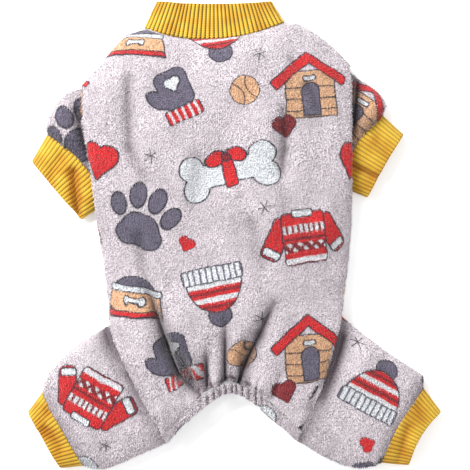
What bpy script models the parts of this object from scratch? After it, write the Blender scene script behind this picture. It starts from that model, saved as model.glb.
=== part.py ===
"""Dog jumpsuit of plush fleece with knitted rib at the neck and on all four cuffs, lying on its belly.

The back panel faces up (+Z), the neck points to +Y and the floor is Z = 0. Every piece is a cloth wall
round an open hollow: two torso panels, two sleeves, two hind legs, the rib knit and the tail hem.
Shapes are worked out in pattern coordinates, in metres: across from the spine and down from the neck seam.
"""

import math
from typing import NamedTuple

import bmesh
import bpy
from mathutils import Vector
from mathutils.bvhtree import BVHTree

# Torso
BACK_LENGTH = 0.2816
CHEST_WIDTH = 0.200
TORSO_LOFT = 0.030
SIDE_SEAM_HEIGHT = 0.007
TAIL_HEM_DEPTH = 0.0092
BELLY_CUTAWAY = 0.030
BELLY_SKEW = 0.006

# Cloth walls and the clearance that every seam keeps
FLEECE_WALL = 0.0026
RIB_WALL = 0.0032
SEAM_GAP = 0.0003
HOLE_MARGIN = 0.0012

# Sleeves, for the front legs
SLEEVE_REACH = 0.026
SLEEVE_SEAM_WIDTH = 0.069
SLEEVE_LOFT = 0.016
SLEEVE_FULLNESS = 0.009
ARMHOLE_DEPTH = 0.0145
ARMHOLE_TOPS = {"left": 0.136, "right": 0.086}
ARMHOLE_LENGTH = 0.086

# Hind legs
LEG_REACH = 0.0735
LEG_SEAM_WIDTH = 0.068
LEG_LOFT = 0.020
LEG_FULLNESS = 0.0092
LEG_TUCK = 0.004

# Knitted rib
NECK_RIB_DEPTH = 0.0255
NECK_EDGE_WIDTH = 0.0916
NECK_EDGE_LOFT = 0.0145
SLEEVE_CUFF_DEPTH = 0.024
SLEEVE_CUFF_WIDTH = 0.0592
SLEEVE_CUFF_LOFT = 0.0132
LEG_CUFF_DEPTH = 0.020
LEG_CUFF_WIDTH = 0.0508
LEG_CUFF_LOFT = 0.0136
NECK_RIB_PITCH = 0.0035
CUFF_RIB_PITCH = 0.0030
RIB_RELIEF = 0.0007

# How square the soft sections are: 2 is an ellipse, more is flatter with tighter sides
SIDE_ROUND = 2.7
TOP_ROUND = 2.2
FLOOR_ROUND = 12.0
NECK_CURVE = 2.2
TAIL_CURVE = 1.5
WIDEST_SHARE = 0.40

BACK_COLUMNS = 36
TUBE_COLUMNS_ABOVE = 14
TUBE_COLUMNS_BELOW = 8
HEM_COLUMNS = 72
EDGE_CROWDING = 0.75

# Tail gathers, drawn up by the elastic in the middle of the hem
GATHER_PITCH = 0.0052
GATHER_RELIEF = 0.0011
GATHER_SPREAD = 0.42

FLEECE_COLOUR = (0.66, 0.60, 0.63, 1.0)
RIB_COLOUR = (0.78, 0.46, 0.05, 1.0)


class TorsoRow(NamedTuple):
    """One cross-line of the torso. Across is a share of half the chest, down a share of the back length."""

    left: float
    left_down: float
    right: float
    right_down: float
    bow: float
    loft: float


# From the neck seam to the edge of the tail hem. Bow carries the middle of the line down towards the tail.
TORSO_ROWS = [
    TorsoRow(-0.645, -0.030, 0.472, -0.047, 0.044, 0.62),
    TorsoRow(-0.790, -0.014, 0.590, -0.046, 0.053, 0.72),
    TorsoRow(-0.915, 0.031, 0.730, -0.018, 0.045, 0.82),
    TorsoRow(-1.040, 0.084, 0.880, 0.024, 0.037, 0.90),
    TorsoRow(-1.150, 0.134, 1.004, 0.075, 0.029, 0.95),
    TorsoRow(-1.152, 0.185, 1.016, 0.134, 0.018, 0.98),
    TorsoRow(-1.140, 0.244, 1.020, 0.196, 0.009, 1.00),
    TorsoRow(-1.112, 0.307, 1.024, 0.259, 0.003, 1.00),
    TorsoRow(-1.080, 0.372, 1.024, 0.324, 0.000, 1.00),
    TorsoRow(-1.056, 0.437, 1.024, 0.389, 0.000, 0.99),
    TorsoRow(-1.040, 0.503, 1.024, 0.452, 0.000, 0.98),
    TorsoRow(-1.008, 0.571, 1.020, 0.528, 0.000, 0.97),
    TorsoRow(-0.976, 0.642, 1.004, 0.599, 0.000, 0.96),
    TorsoRow(-0.952, 0.707, 0.984, 0.670, -0.001, 0.96),
    TorsoRow(-0.936, 0.761, 0.964, 0.724, -0.006, 0.96),
    TorsoRow(-0.928, 0.810, 0.944, 0.776, -0.014, 0.95),
    TorsoRow(-0.888, 0.858, 0.916, 0.827, -0.024, 0.93),
    TorsoRow(-0.824, 0.912, 0.876, 0.884, -0.043, 0.90),
    TorsoRow(-0.752, 0.966, 0.832, 0.940, -0.064, 0.85),
    TorsoRow(-0.672, 1.023, 0.776, 1.000, -0.091, 0.78),
    TorsoRow(-0.592, 1.077, 0.704, 1.060, -0.119, 0.68),
    TorsoRow(-0.512, 1.122, 0.616, 1.114, -0.143, 0.54),
]
LEG_TOP_ROW = 15
HEM_SEAM_ROW = len(TORSO_ROWS) - 1


class LimbRow(NamedTuple):
    """One cross-line of a sleeve or leg: the bulge of its two edges, as shares of the fullness."""

    along: float
    upper: float
    lower: float
    loft: float


SLEEVE_ROWS = {
    "left": [
        LimbRow(0.00, 0.00, 0.0, 1.00),
        LimbRow(0.22, 1.00, 0.0, 1.04),
        LimbRow(0.50, 1.16, 0.0, 1.02),
        LimbRow(0.78, 0.95, 0.0, 0.96),
        LimbRow(0.92, 0.62, 0.0, 0.92),
        LimbRow(1.00, 0.00, 0.0, 0.88),
    ],
    "right": [
        LimbRow(0.00, 0.00, 0.0, 1.00),
        LimbRow(0.22, 0.40, 0.0, 1.03),
        LimbRow(0.50, 0.82, 0.0, 1.02),
        LimbRow(0.75, 1.05, 0.0, 0.96),
        LimbRow(0.90, 0.90, 0.0, 0.92),
        LimbRow(1.00, 0.00, 0.0, 0.88),
    ],
}
LEG_ROWS = {
    "left": [
        LimbRow(0.00, 0.00, 0.00, 0.94),
        LimbRow(0.17, 0.56, 0.24, 1.00),
        LimbRow(0.36, 0.88, 0.44, 1.00),
        LimbRow(0.56, 1.00, 0.64, 0.96),
        LimbRow(0.76, 0.96, 0.82, 0.88),
        LimbRow(0.91, 0.70, 0.52, 0.80),
        LimbRow(1.00, 0.00, 0.00, 0.72),
    ],
    "right": [
        LimbRow(0.00, 0.00, 0.00, 0.94),
        LimbRow(0.17, 0.12, 0.34, 1.00),
        LimbRow(0.36, 0.14, 0.80, 1.00),
        LimbRow(0.56, 0.30, 1.02, 0.96),
        LimbRow(0.76, 0.62, 1.00, 0.88),
        LimbRow(0.93, 0.95, 0.50, 0.80),
        LimbRow(1.00, 0.00, 0.00, 0.72),
    ],
}


class LimbLay(NamedTuple):
    """How one sleeve or leg lies: angles in degrees below straight out, lengths as shares of the shared sizes."""

    side: str
    reach: float
    splay: float
    seam_tilt: float
    seam_width: float
    seam_bow: float
    cuff_depth: float
    cuff_splay: float
    cuff_tilt: float
    cuff_width: float
    cuff_bow: float


SLEEVE_LAYS = [
    LimbLay("left", 1.10, 53.0, 40.5, 1.05, -0.10, 1.00, 45.7, 40.2, 1.03, 0.00),
    LimbLay("right", 1.04, 54.0, 31.0, 0.96, -0.09, 0.99, 31.5, 29.8, 0.98, -0.02),
]
LEG_LAYS = [
    LimbLay("left", 0.99, 30.6, 29.3, 0.99, 0.00, 0.90, 30.8, 30.1, 1.02, 0.00),
    LimbLay("right", 1.08, 30.4, 30.1, 1.02, -0.05, 1.09, 29.2, 31.3, 0.98, -0.09),
]


class Fold(NamedTuple):
    """A crease in the upper cloth of one piece, from one point to another, as shares of the torso's sizes."""

    piece: str
    from_across: float
    from_down: float
    to_across: float
    to_down: float
    depth: float
    width: float


# Depths are shares of the torso's loft and widths shares of the chest. Gathers run up from the tail hem.
FOLDS = [
    Fold("back_panel", -0.092, 0.980, -0.092, 0.840, 0.17, 0.018),
    Fold("back_panel", 0.030, 0.980, 0.250, 0.800, 0.24, 0.023),
    Fold("back_panel", -0.236, 1.000, -0.220, 0.900, 0.12, 0.018),
    Fold("back_panel", -0.310, 1.000, -0.668, 0.760, 0.26, 0.036),
    Fold("back_panel", 0.160, 1.000, 0.360, 0.900, 0.06, 0.022),
    Fold("back_panel", -0.520, 1.080, -0.760, 0.830, -0.07, 0.034),
    Fold("back_panel", -0.770, 0.200, -0.730, 0.400, 0.08, 0.036),
    Fold("back_panel", 0.610, 0.120, 0.760, 0.260, 0.08, 0.034),
    Fold("back_panel", 0.500, 0.290, 0.440, 0.470, 0.07, 0.032),
    Fold("back_panel", -0.420, 0.300, -0.500, 0.520, 0.05, 0.040),
    Fold("leg_left", -1.040, 0.850, -0.820, 0.930, 0.14, 0.034),
    Fold("leg_left", -0.840, 0.960, -0.620, 1.100, 0.08, 0.026),
    Fold("leg_right", 1.000, 0.880, 0.780, 1.040, 0.10, 0.036),
    Fold("sleeve_left", -1.130, 0.260, -1.080, 0.370, 0.08, 0.026),
    Fold("sleeve_right", 1.060, 0.130, 1.080, 0.210, 0.10, 0.026),
    Fold("sleeve_cuff_left", -1.220, 0.390, -1.120, 0.490, 0.08, 0.018),
    Fold("sleeve_cuff_right", 1.020, 0.366, 1.250, 0.398, 0.06, 0.012),
]


class Section(NamedTuple):
    """A soft cross-section between two edge points, lying on the floor."""

    start: Vector
    end: Vector
    bow: float
    loft: float
    rims: tuple
    curve: float


def pattern_point(across, down):
    """A point of the pattern from its shares of half the chest and of the back length."""
    return Vector((across * CHEST_WIDTH / 2, -down * BACK_LENGTH))


def between(low, high, share):
    return low + (high - low) * share


def crowded(share):
    """Spreads columns over -1 to 1 so that they crowd at both edges, where the cloth rolls over."""
    return (1 - EDGE_CROWDING) * share + EDGE_CROWDING * math.sin(math.pi * share / 2)


def columns(count):
    return [crowded(2 * i / count - 1) for i in range(count + 1)]


def fold_depth(piece, point):
    """How far the folds of a piece sink its upper cloth at a point of the pattern."""
    sunk = 0.0
    for fold in FOLDS:
        if fold.piece != piece:
            continue
        start = pattern_point(fold.from_across, fold.from_down)
        end = pattern_point(fold.to_across, fold.to_down)
        run = end - start
        share = max(0.0, min(1.0, (point - start).dot(run) / run.length_squared))
        apart = (point - start - run * share).length / (fold.width * CHEST_WIDTH)
        sunk += fold.depth * TORSO_LOFT * math.exp(-apart * apart) * (1 - 0.75 * share * share)
    return sunk


def section_point(piece, section, lateral, upper, inset):
    """The point of a section at a lateral share from -1 to 1, sunk into the cloth by the inset."""
    half = (section.end - section.start) / 2
    across = half.normalized()
    onward = Vector((across.y, -across.x))
    reach = min(1.0, abs(lateral))
    aside = (half.length - inset) * lateral
    point = section.start + half + across * aside
    point += onward * section.bow * (1 - abs(aside / half.length) ** section.curve)
    rim = section.rims[0] if lateral < 0 else section.rims[1]
    if upper:
        rise = (1 - reach**SIDE_ROUND) ** (1 / TOP_ROUND)
        height = rim + (section.loft - inset - rim - fold_depth(piece, point)) * rise
    else:
        height = rim - (rim - inset) * math.sqrt(1 - reach**FLOOR_ROUND)
    return Vector((point.x, point.y, height))


def extrude_row(bm, row, points, closed):
    """Extrudes a row of vertices to the next row's points and returns the new row."""
    pairs = list(zip(row, row[1:]))
    if closed:
        pairs.append((row[-1], row[0]))
    edges = [bm.edges.get(pair) for pair in pairs]
    made = bmesh.ops.extrude_edge_only(bm, edges=edges)["geom"]
    fresh = {item for item in made if isinstance(item, bmesh.types.BMVert)}
    next_row = []
    for vertex, point in zip(row, points):
        partner = next(e.other_vert(vertex) for e in vertex.link_edges if e.other_vert(vertex) in fresh)
        partner.co = point
        next_row.append(partner)
    return next_row


def sheet(bm, rows, closed):
    """One surface through rows of points, made by extruding the first row from one to the next."""
    first = [bm.verts.new(point) for point in rows[0]]
    for pair in zip(first, first[1:]):
        bm.edges.new(pair)
    if closed:
        bm.edges.new((first[-1], first[0]))
    made = [first]
    for points in rows[1:]:
        made.append(extrude_row(bm, made[-1], points, closed))
    return made


def edge_strip(bm, outer, inner, closed):
    """Closes the wall between the outer and the inner edge of a piece."""
    count = len(outer) if closed else len(outer) - 1
    for i in range(count):
        j = (i + 1) % len(outer)
        bm.faces.new((outer[i], outer[j], inner[j], inner[i]))


def cloth_wall(name, outer_rows, inner_rows, closed, material):
    """A piece of cloth as one closed solid: outer surface, inner surface and the edges between them."""
    bm = bmesh.new()
    outer = sheet(bm, outer_rows, closed)
    inner = sheet(bm, inner_rows, closed)
    edge_strip(bm, outer[0], inner[0], closed)
    edge_strip(bm, outer[-1], inner[-1], closed)
    if not closed:
        for side in (0, -1):
            edge_strip(bm, [row[side] for row in outer], [row[side] for row in inner], False)
    bmesh.ops.recalc_face_normals(bm, faces=bm.faces)
    mesh = bpy.data.meshes.new(name)
    bm.to_mesh(mesh)
    bm.free()
    mesh.shade_smooth()
    mesh.set_sharp_from_angle(angle=math.radians(50))
    mesh.materials.append(material)
    piece = bpy.data.objects.new(name, mesh)
    bpy.context.scene.collection.objects.link(piece)
    return piece


def ring(piece, section, above, below, inset, relief=0.0):
    """A closed section: over the top from start to end, and back along the floor. Relief sinks every second point."""
    laterals = [(x, True) for x in above[:-1]] + [(-x, False) for x in below[:-1]]
    points = []
    for i, (lateral, upper) in enumerate(laterals):
        sink = inset + (relief if i % 2 else 0.0)
        points.append(section_point(piece, section, lateral, upper, sink))
    return points


def tube(name, sections, wall, material, above, below, relief=0.0):
    """A soft tube that lies on the floor with both ends open."""
    outer = [ring(name, section, above, below, 0.0, relief) for section in sections]
    inner = [ring(name, section, above, below, wall) for section in sections]
    return cloth_wall(name, outer, inner, True, material)


def rib_tube(name, sections, pitch, material):
    """A tube of knitted rib, with a ridge every pitch of its widest section."""
    widest = max((section.end - section.start).length for section in sections)
    ribs = max(4, round(widest / pitch))
    spread = [between(2 * i / (2 * ribs) - 1, crowded(2 * i / (2 * ribs) - 1), 0.35) for i in range(2 * ribs + 1)]
    return tube(name, sections, RIB_WALL, material, spread, spread, RIB_RELIEF)


def whole_rim(loft):
    """The height of a tube's widest point on both sides."""
    return (loft * WIDEST_SHARE, loft * WIDEST_SHARE)


def torso_value(at, field):
    """A column of the torso table at a row number that may lie between two rows, on a smooth curve."""
    last = len(TORSO_ROWS) - 1
    low = min(int(at), last - 1)
    share = at - low
    four = [getattr(TORSO_ROWS[max(0, min(last, low + k))], field) for k in (-1, 0, 1, 2)]
    a = four[2] - four[0]
    b = 2 * four[0] - 5 * four[1] + 4 * four[2] - four[3]
    c = 3 * (four[1] - four[2]) + four[3] - four[0]
    return four[1] + 0.5 * share * (a + share * (b + share * c))


def torso_edge(at, side):
    """The outline of the torso at a row number. Past the hem seam it runs on to the edge of the tail hem."""
    on_table = min(at, HEM_SEAM_ROW)
    point = pattern_point(torso_value(on_table, side), torso_value(on_table, side + "_down"))
    if at > HEM_SEAM_ROW:
        before = pattern_point(
            torso_value(HEM_SEAM_ROW - 1, side), torso_value(HEM_SEAM_ROW - 1, side + "_down")
        )
        point += (point - before).normalized() * TAIL_HEM_DEPTH * (at - HEM_SEAM_ROW)
    return point


def torso_bow(at):
    """How far the middle of a torso line lies below its ends. The hem's edge keeps the hem's depth there too."""
    return torso_value(min(at, HEM_SEAM_ROW), "bow") * BACK_LENGTH


def row_at_down(side, down):
    """The row number where the torso's outline reaches a share of the back length, on the way to the tail."""
    at = 0.0
    while at < HEM_SEAM_ROW and torso_value(at, side + "_down") < down:
        at += 0.02
    return at


def inward(side, distance):
    return Vector((distance if side == "left" else -distance, 0.0))


def armhole(side):
    """The two ends of a sleeve's root, which runs from the outline at the shoulder to inside it at the chest."""
    top = row_at_down(side, ARMHOLE_TOPS[side])
    low = row_at_down(side, torso_value(top, side + "_down") + ARMHOLE_LENGTH / BACK_LENGTH)
    return torso_edge(top, side) + inward(side, FLEECE_WALL), torso_edge(low, side) + inward(side, ARMHOLE_DEPTH)


def leg_hole(side):
    """The two ends of a leg's root, tucked under the outline at the hip and flush with it at the hem."""
    return (
        torso_edge(LEG_TOP_ROW, side) + inward(side, LEG_TUCK),
        torso_edge(HEM_SEAM_ROW + 1, side) + inward(side, SEAM_GAP),
    )


def heading(side, degrees):
    """A direction that many degrees below straight out from the side."""
    out = -1.0 if side == "left" else 1.0
    return Vector((out * math.cos(math.radians(degrees)), -math.sin(math.radians(degrees))))


def cross_line(side, middle, tilt, width):
    """The upper and the lower end of a line across a limb that points at the tilt."""
    onward = heading(side, tilt)
    out = -1.0 if side == "left" else 1.0
    up = Vector((-onward.y * out, onward.x * out))
    return middle + up * width / 2, middle - up * width / 2


def limb_sections(side, root, seam, rows, fullness, loft, seam_bow):
    """Sections from a limb's root to its cuff seam, with both edges bulging as the table says."""
    out = -1.0 if side == "left" else 1.0
    sections = []
    for row in rows:
        edges = []
        for k, bulge in ((0, row.upper), (1, row.lower)):
            run = (seam[k] - root[k]).normalized()
            normal = Vector((-run.y, run.x)) * out * (1 if k == 0 else -1)
            edges.append(between(root[k], seam[k], row.along) + normal * bulge * fullness)
        height = row.loft * loft
        sections.append(Section(*edges, -out * seam_bow * row.along, height, whole_rim(height), 2.0))
    return sections


def cuff_sections(side, seam_section, lay, middle, depth, width, loft, seam_bow, edge_bow):
    """The two ends of a knitted cuff: just past its seam and at its edge."""
    out = -1.0 if side == "left" else 1.0
    clear = heading(side, lay.seam_tilt) * SEAM_GAP
    seam = (seam_section.start + clear, seam_section.end + clear)
    edge = cross_line(side, middle + heading(side, lay.cuff_splay) * depth, lay.cuff_tilt, width)
    sections = []
    for line, bow, height in ((seam, seam_bow, seam_section.loft), (edge, edge_bow, loft)):
        sections.append(Section(*line, -out * bow, height, whole_rim(height), 2.0))
    return sections


def make_limb(kind, lay, root, rows, sizes, fleece, knit):
    """A sleeve or a leg with its cuff. Sizes are reach, seam width, loft, fullness and the cuff's three."""
    reach, seam_width, loft, fullness, cuff_depth, cuff_width, cuff_loft = sizes
    side = lay.side
    middle = (root[0] + root[1]) / 2 + heading(side, lay.splay) * reach * lay.reach
    seam = cross_line(side, middle, lay.seam_tilt, seam_width * lay.seam_width)
    seam_bow = lay.seam_bow * seam_width
    sections = limb_sections(side, root, seam, rows, fullness, loft, seam_bow)
    above = columns(TUBE_COLUMNS_ABOVE)
    below = columns(TUBE_COLUMNS_BELOW)
    limb = tube(f"{kind}_{side}", sections, FLEECE_WALL, fleece, above, below)
    cuff = cuff_sections(
        side, sections[-1], lay, middle, cuff_depth * lay.cuff_depth, cuff_width * lay.cuff_width,
        cuff_loft, seam_bow, lay.cuff_bow * cuff_width,
    )
    return limb, rib_tube(f"{kind}_cuff_{side}", cuff, CUFF_RIB_PITCH, knit)


def height_over(trees, point):
    """The height of the highest limb below a point, or 0."""
    top = 0.0
    for tree in trees:
        hit = tree.ray_cast(Vector((point.x, point.y, 1.0)), Vector((0, 0, -1)))
        if hit[0] is not None:
            top = max(top, hit[0].z)
    return top


def rim_height(trees, at, side):
    """The lower edge of the back panel: at the side seam, or arched over the sleeve or leg that it lies on."""
    top = 0.0
    for step in (-0.6, -0.4, -0.2, 0.0, 0.2, 0.4, 0.6):
        edge = torso_edge(max(0.0, min(HEM_SEAM_ROW + 1.0, at + step)), side)
        for depth in (-0.5, 0.0, 0.5, 1.0, 1.5):
            top = max(top, height_over(trees, edge + inward(side, depth * FLEECE_WALL)))
    return max(SIDE_SEAM_HEIGHT, top + SEAM_GAP)


def straight_rim(trees, at, side):
    """The back panel's lower edge between two of its rows, where it runs straight."""
    low = math.floor(at)
    return between(rim_height(trees, low, side), rim_height(trees, low + 1, side), at - low)


def torso_section(trees, at):
    """The upper section of the torso at a row number."""
    rims = tuple(rim_height(trees, at, side) for side in ("left", "right"))
    loft = torso_value(min(at, HEM_SEAM_ROW), "loft") * TORSO_LOFT
    if at > HEM_SEAM_ROW:
        loft -= (at - HEM_SEAM_ROW) * FLEECE_WALL
    loft = max(loft, max(rims) + 1.3 * FLEECE_WALL)
    bow = torso_bow(at)
    curve = NECK_CURVE if bow > 0 else TAIL_CURVE
    return Section(torso_edge(at, "left"), torso_edge(at, "right"), bow, loft, rims, curve)


def upper_rows(name, sections, spread, wall):
    outer = [[section_point(name, s, x, True, 0.0) for x in spread] for s in sections]
    inner = [[section_point(name, s, x, True, wall) for x in spread] for s in sections]
    return outer, inner


def make_back_panel(trees, fleece):
    sections = [torso_section(trees, at) for at in range(HEM_SEAM_ROW + 1)]
    outer, inner = upper_rows("back_panel", sections, columns(BACK_COLUMNS), FLEECE_WALL)
    return cloth_wall("back_panel", outer, inner, False, fleece)


def gather_height(distance, lateral):
    """The small pleats of the tail hem: full in the middle and gone towards the legs."""
    fade = math.exp(-((lateral / GATHER_SPREAD) ** 4))
    return GATHER_RELIEF * fade * math.cos(2 * math.pi * distance / GATHER_PITCH)


def make_tail_hem(trees, fleece):
    """The gathered casing along the rear edge of the back panel, with its elastic inside."""
    spread = columns(HEM_COLUMNS)
    clear = 1.5 * SEAM_GAP / TAIL_HEM_DEPTH
    sections = [torso_section(trees, HEM_SEAM_ROW + at) for at in (clear, 0.5, 1.0)]
    outer, inner = upper_rows("tail_hem", sections, spread, FLEECE_WALL)
    for rows in (outer, inner):
        for row, strength in zip(rows, (0.6, 1.0, 0.5)):
            for point, lateral in zip(row, spread):
                point.z += strength * gather_height(point.x, lateral)
    return cloth_wall("tail_hem", outer, inner, False, fleece)


def line_across(line, down):
    """Where a line between two points crosses a height of the pattern."""
    share = (down - line[0].y) / (line[1].y - line[0].y)
    return line[0].x + (line[1].x - line[0].x) * share


def belly_edge(trees, at, side, holes):
    """The belly's outline: the back panel's, cut back to the root of each sleeve and leg. Returns point and lift."""
    point = torso_edge(at, side)
    out = -1.0 if side == "left" else 1.0
    cut = out * point.x
    for root, run_on in holes:
        if root[1].y <= point.y <= root[0].y + HOLE_MARGIN:
            cut = min(cut, out * line_across(root, point.y) - SEAM_GAP)
        elif root[1].y - run_on <= point.y < root[1].y:
            cut = min(cut, out * root[1].x - SEAM_GAP)
    if cut < out * point.x - SEAM_GAP:
        return Vector((out * cut, point.y)), FLEECE_WALL
    return point, straight_rim(trees, at, side) - SEAM_GAP


def belly_shift(at, lateral):
    """The belly's rear edge is cut away in the middle and lies a little askew."""
    share = max(0.0, at - LEG_TOP_ROW) / (HEM_SEAM_ROW + 1 - LEG_TOP_ROW)
    near = max(0.0, 1 - abs(lateral) / 0.55)
    return share**2 * (BELLY_CUTAWAY * math.sin(math.pi * near / 2) ** 2 - BELLY_SKEW * math.sin(math.pi * lateral))


def belly_rows(holes):
    """Row numbers for the belly: the ones where its outline turns, and two just apart where a hole starts or ends."""
    rows_at = [0, 1, 2, 3, 4, 12, 16, 17, 18, 19, 20, 21, HEM_SEAM_ROW + 1 - 0.5, HEM_SEAM_ROW + 1]
    for side in ("left", "right"):
        for root, run_on in holes[side]:
            top = row_at_down(side, -(root[0].y + HOLE_MARGIN) / BACK_LENGTH)
            rows_at += [math.floor(top) - 1, math.floor(top), top - 0.05, top + 0.03]
            low = row_at_down(side, -(root[1].y - run_on) / BACK_LENGTH)
            if low < LEG_TOP_ROW:
                corner = row_at_down(side, -root[1].y / BACK_LENGTH)
                rows_at += [corner, low - 0.03, low + 0.06, math.ceil(low), math.ceil(low) + 1]
    return sorted({at for at in rows_at if at <= HEM_SEAM_ROW + 1})


def make_belly_panel(trees, holes, fleece):
    """The flat panel under the torso, turned up at both sides to meet the back panel."""
    half = [1.0, 0.985, 0.955, 0.90, 0.72, 0.48, 0.24]
    spread = [-x for x in half] + [0.0] + half[::-1]
    outer = []
    inner = []
    for at in belly_rows(holes):
        left, left_lift = belly_edge(trees, at, "left", holes["left"])
        right, right_lift = belly_edge(trees, at, "right", holes["right"])
        bow = torso_bow(at)
        section = Section(left, right, bow, 0.0, (left_lift, right_lift), NECK_CURVE if bow > 0 else TAIL_CURVE)
        for rows, inset in ((outer, 0.0), (inner, FLEECE_WALL)):
            row = [section_point("belly_panel", section, x, False, inset) for x in spread]
            for point, lateral in zip(row, spread):
                point.y += belly_shift(at, lateral)
            rows.append(row)
    return cloth_wall("belly_panel", outer, inner, False, fleece)


def make_neck_rib(knit):
    """The doubled rib collar: as wide as the neck seam below, narrower and flatter at its edge."""
    left = torso_edge(0, "left")
    right = torso_edge(0, "right")
    up = Vector((0.0, 1.0))
    edge_middle = (left + right) / 2 + up * NECK_RIB_DEPTH * 0.78
    half_edge = Vector((NECK_EDGE_WIDTH / 2, 0.0))
    edge = (edge_middle - half_edge, edge_middle + half_edge)
    seam_loft = TORSO_ROWS[0].loft * TORSO_LOFT
    seam = (left + up * SEAM_GAP, right + up * SEAM_GAP)
    sections = [
        Section(*seam, torso_bow(0), seam_loft, (SIDE_SEAM_HEIGHT, SIDE_SEAM_HEIGHT), NECK_CURVE),
        Section(*edge, 0.12 * NECK_RIB_DEPTH, NECK_EDGE_LOFT, whole_rim(NECK_EDGE_LOFT), NECK_CURVE),
    ]
    return rib_tube("neck_rib", sections, NECK_RIB_PITCH, knit)


def cloth_material(name, colour, roughness):
    material = bpy.data.materials.new(name)
    material.use_nodes = True
    shader = material.node_tree.nodes["Principled BSDF"]
    shader.inputs["Base Color"].default_value = colour
    shader.inputs["Roughness"].default_value = roughness
    shader.inputs["Metallic"].default_value = 0.0
    return material


def world_tree(piece):
    bm = bmesh.new()
    bm.from_mesh(piece.data)
    tree = BVHTree.FromBMesh(bm)
    bm.free()
    return tree


def rest_on_floor(pieces):
    """Hangs every piece on one empty and moves it so that the origin is under the middle of the jumpsuit."""
    points = [vertex.co for piece in pieces for vertex in piece.data.vertices]
    middle_x = (min(p.x for p in points) + max(p.x for p in points)) / 2
    middle_y = (min(p.y for p in points) + max(p.y for p in points)) / 2
    lowest = min(p.z for p in points)
    garment = bpy.data.objects.new("jumpsuit", None)
    bpy.context.scene.collection.objects.link(garment)
    garment.location = (-middle_x, -middle_y, -lowest)
    for piece in pieces:
        piece.parent = garment


def main():
    for old in list(bpy.data.objects):
        bpy.data.objects.remove(old, do_unlink=True)
    fleece = cloth_material("plush_fleece", FLEECE_COLOUR, 0.95)
    knit = cloth_material("rib_knit", RIB_COLOUR, 0.85)

    sleeve_sizes = (
        SLEEVE_REACH, SLEEVE_SEAM_WIDTH, SLEEVE_LOFT, SLEEVE_FULLNESS,
        SLEEVE_CUFF_DEPTH, SLEEVE_CUFF_WIDTH, SLEEVE_CUFF_LOFT,
    )
    leg_sizes = (
        LEG_REACH, LEG_SEAM_WIDTH, LEG_LOFT, LEG_FULLNESS,
        LEG_CUFF_DEPTH, LEG_CUFF_WIDTH, LEG_CUFF_LOFT,
    )
    limbs = []
    holes = {"left": [], "right": []}
    for lay in SLEEVE_LAYS:
        root = armhole(lay.side)
        limbs += make_limb("sleeve", lay, root, SLEEVE_ROWS[lay.side], sleeve_sizes, fleece, knit)
        holes[lay.side].append((root, ARMHOLE_DEPTH))
    for lay in LEG_LAYS:
        root = leg_hole(lay.side)
        limbs += make_limb("leg", lay, root, LEG_ROWS[lay.side], leg_sizes, fleece, knit)
        holes[lay.side].append((root, 0.0))

    trees = [world_tree(limb) for limb in limbs]
    pieces = limbs + [
        make_back_panel(trees, fleece),
        make_tail_hem(trees, fleece),
        make_belly_panel(trees, holes, fleece),
        make_neck_rib(knit),
    ]
    rest_on_floor(pieces)


main()
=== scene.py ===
"""A plush dog jumpsuit with ribbed collar and cuffs, lying on its belly on a pale floor."""
import math
from typing import NamedTuple

import bmesh
import bpy
from mathutils import Matrix, Vector, noise
from mathutils.bvhtree import BVHTree


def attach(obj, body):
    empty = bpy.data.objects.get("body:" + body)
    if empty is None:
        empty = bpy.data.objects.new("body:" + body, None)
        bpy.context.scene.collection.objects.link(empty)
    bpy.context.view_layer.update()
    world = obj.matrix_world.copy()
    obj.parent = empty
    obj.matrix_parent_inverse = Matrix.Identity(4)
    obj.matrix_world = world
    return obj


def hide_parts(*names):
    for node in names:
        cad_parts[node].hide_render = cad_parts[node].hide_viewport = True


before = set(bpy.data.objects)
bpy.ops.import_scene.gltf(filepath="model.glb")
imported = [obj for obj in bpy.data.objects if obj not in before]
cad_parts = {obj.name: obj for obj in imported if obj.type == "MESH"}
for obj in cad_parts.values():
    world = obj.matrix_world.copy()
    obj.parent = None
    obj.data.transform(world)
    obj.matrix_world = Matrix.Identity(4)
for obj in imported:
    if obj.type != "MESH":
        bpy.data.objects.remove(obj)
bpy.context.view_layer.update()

bl_info = {
    "name": "Dog jumpsuit",
    "version": (1, 0, 0),
    "blender": (4, 5, 0),
    "location": "3D Viewport > Sidebar > Jumpsuit",
    "description": "Plush fleece, rib knit and a studio floor for a dog jumpsuit",
    "category": "Object",
}

MM = 0.001

# Pieces cut from printed fleece, and where on the bolt: shift in millimetres, turn in degrees.
BODY_PIECES = {
    "back_panel": (0.0, 0.0, 0.0),
    "belly_panel": (70.0, 35.0, 180.0),
    "tail_hem": (0.0, 0.0, 0.0),
}
LIMB_PIECES = {
    "sleeve_left": (-20.7, -125.7, -36.0),
    "sleeve_right": (64.4, -23.4, 46.0),
    "leg_left": (46.6, -173.9, -142.0),
    "leg_right": (151.0, -66.6, -140.0),
}
# A rib tube's wall in millimetres, and the powers that round its sides, its top and its underside.
RIB_WALL = 3.2
SIDE_ROUND = 2.7
TOP_ROUND = 2.2
FLOOR_ROUND = 12.0
# Heights in millimetres between which a fleece piece passes from its lower cloth to its folded upper cloth.
UPPER_LOW = 4.0
UPPER_HIGH = 9.0


class Crease(NamedTuple):
    """A fold of the upper cloth from one point to another, in millimetres. A negative depth is a ridge."""

    x0: float
    y0: float
    x1: float
    y1: float
    depth: float
    width: float
    fade: float


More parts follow.
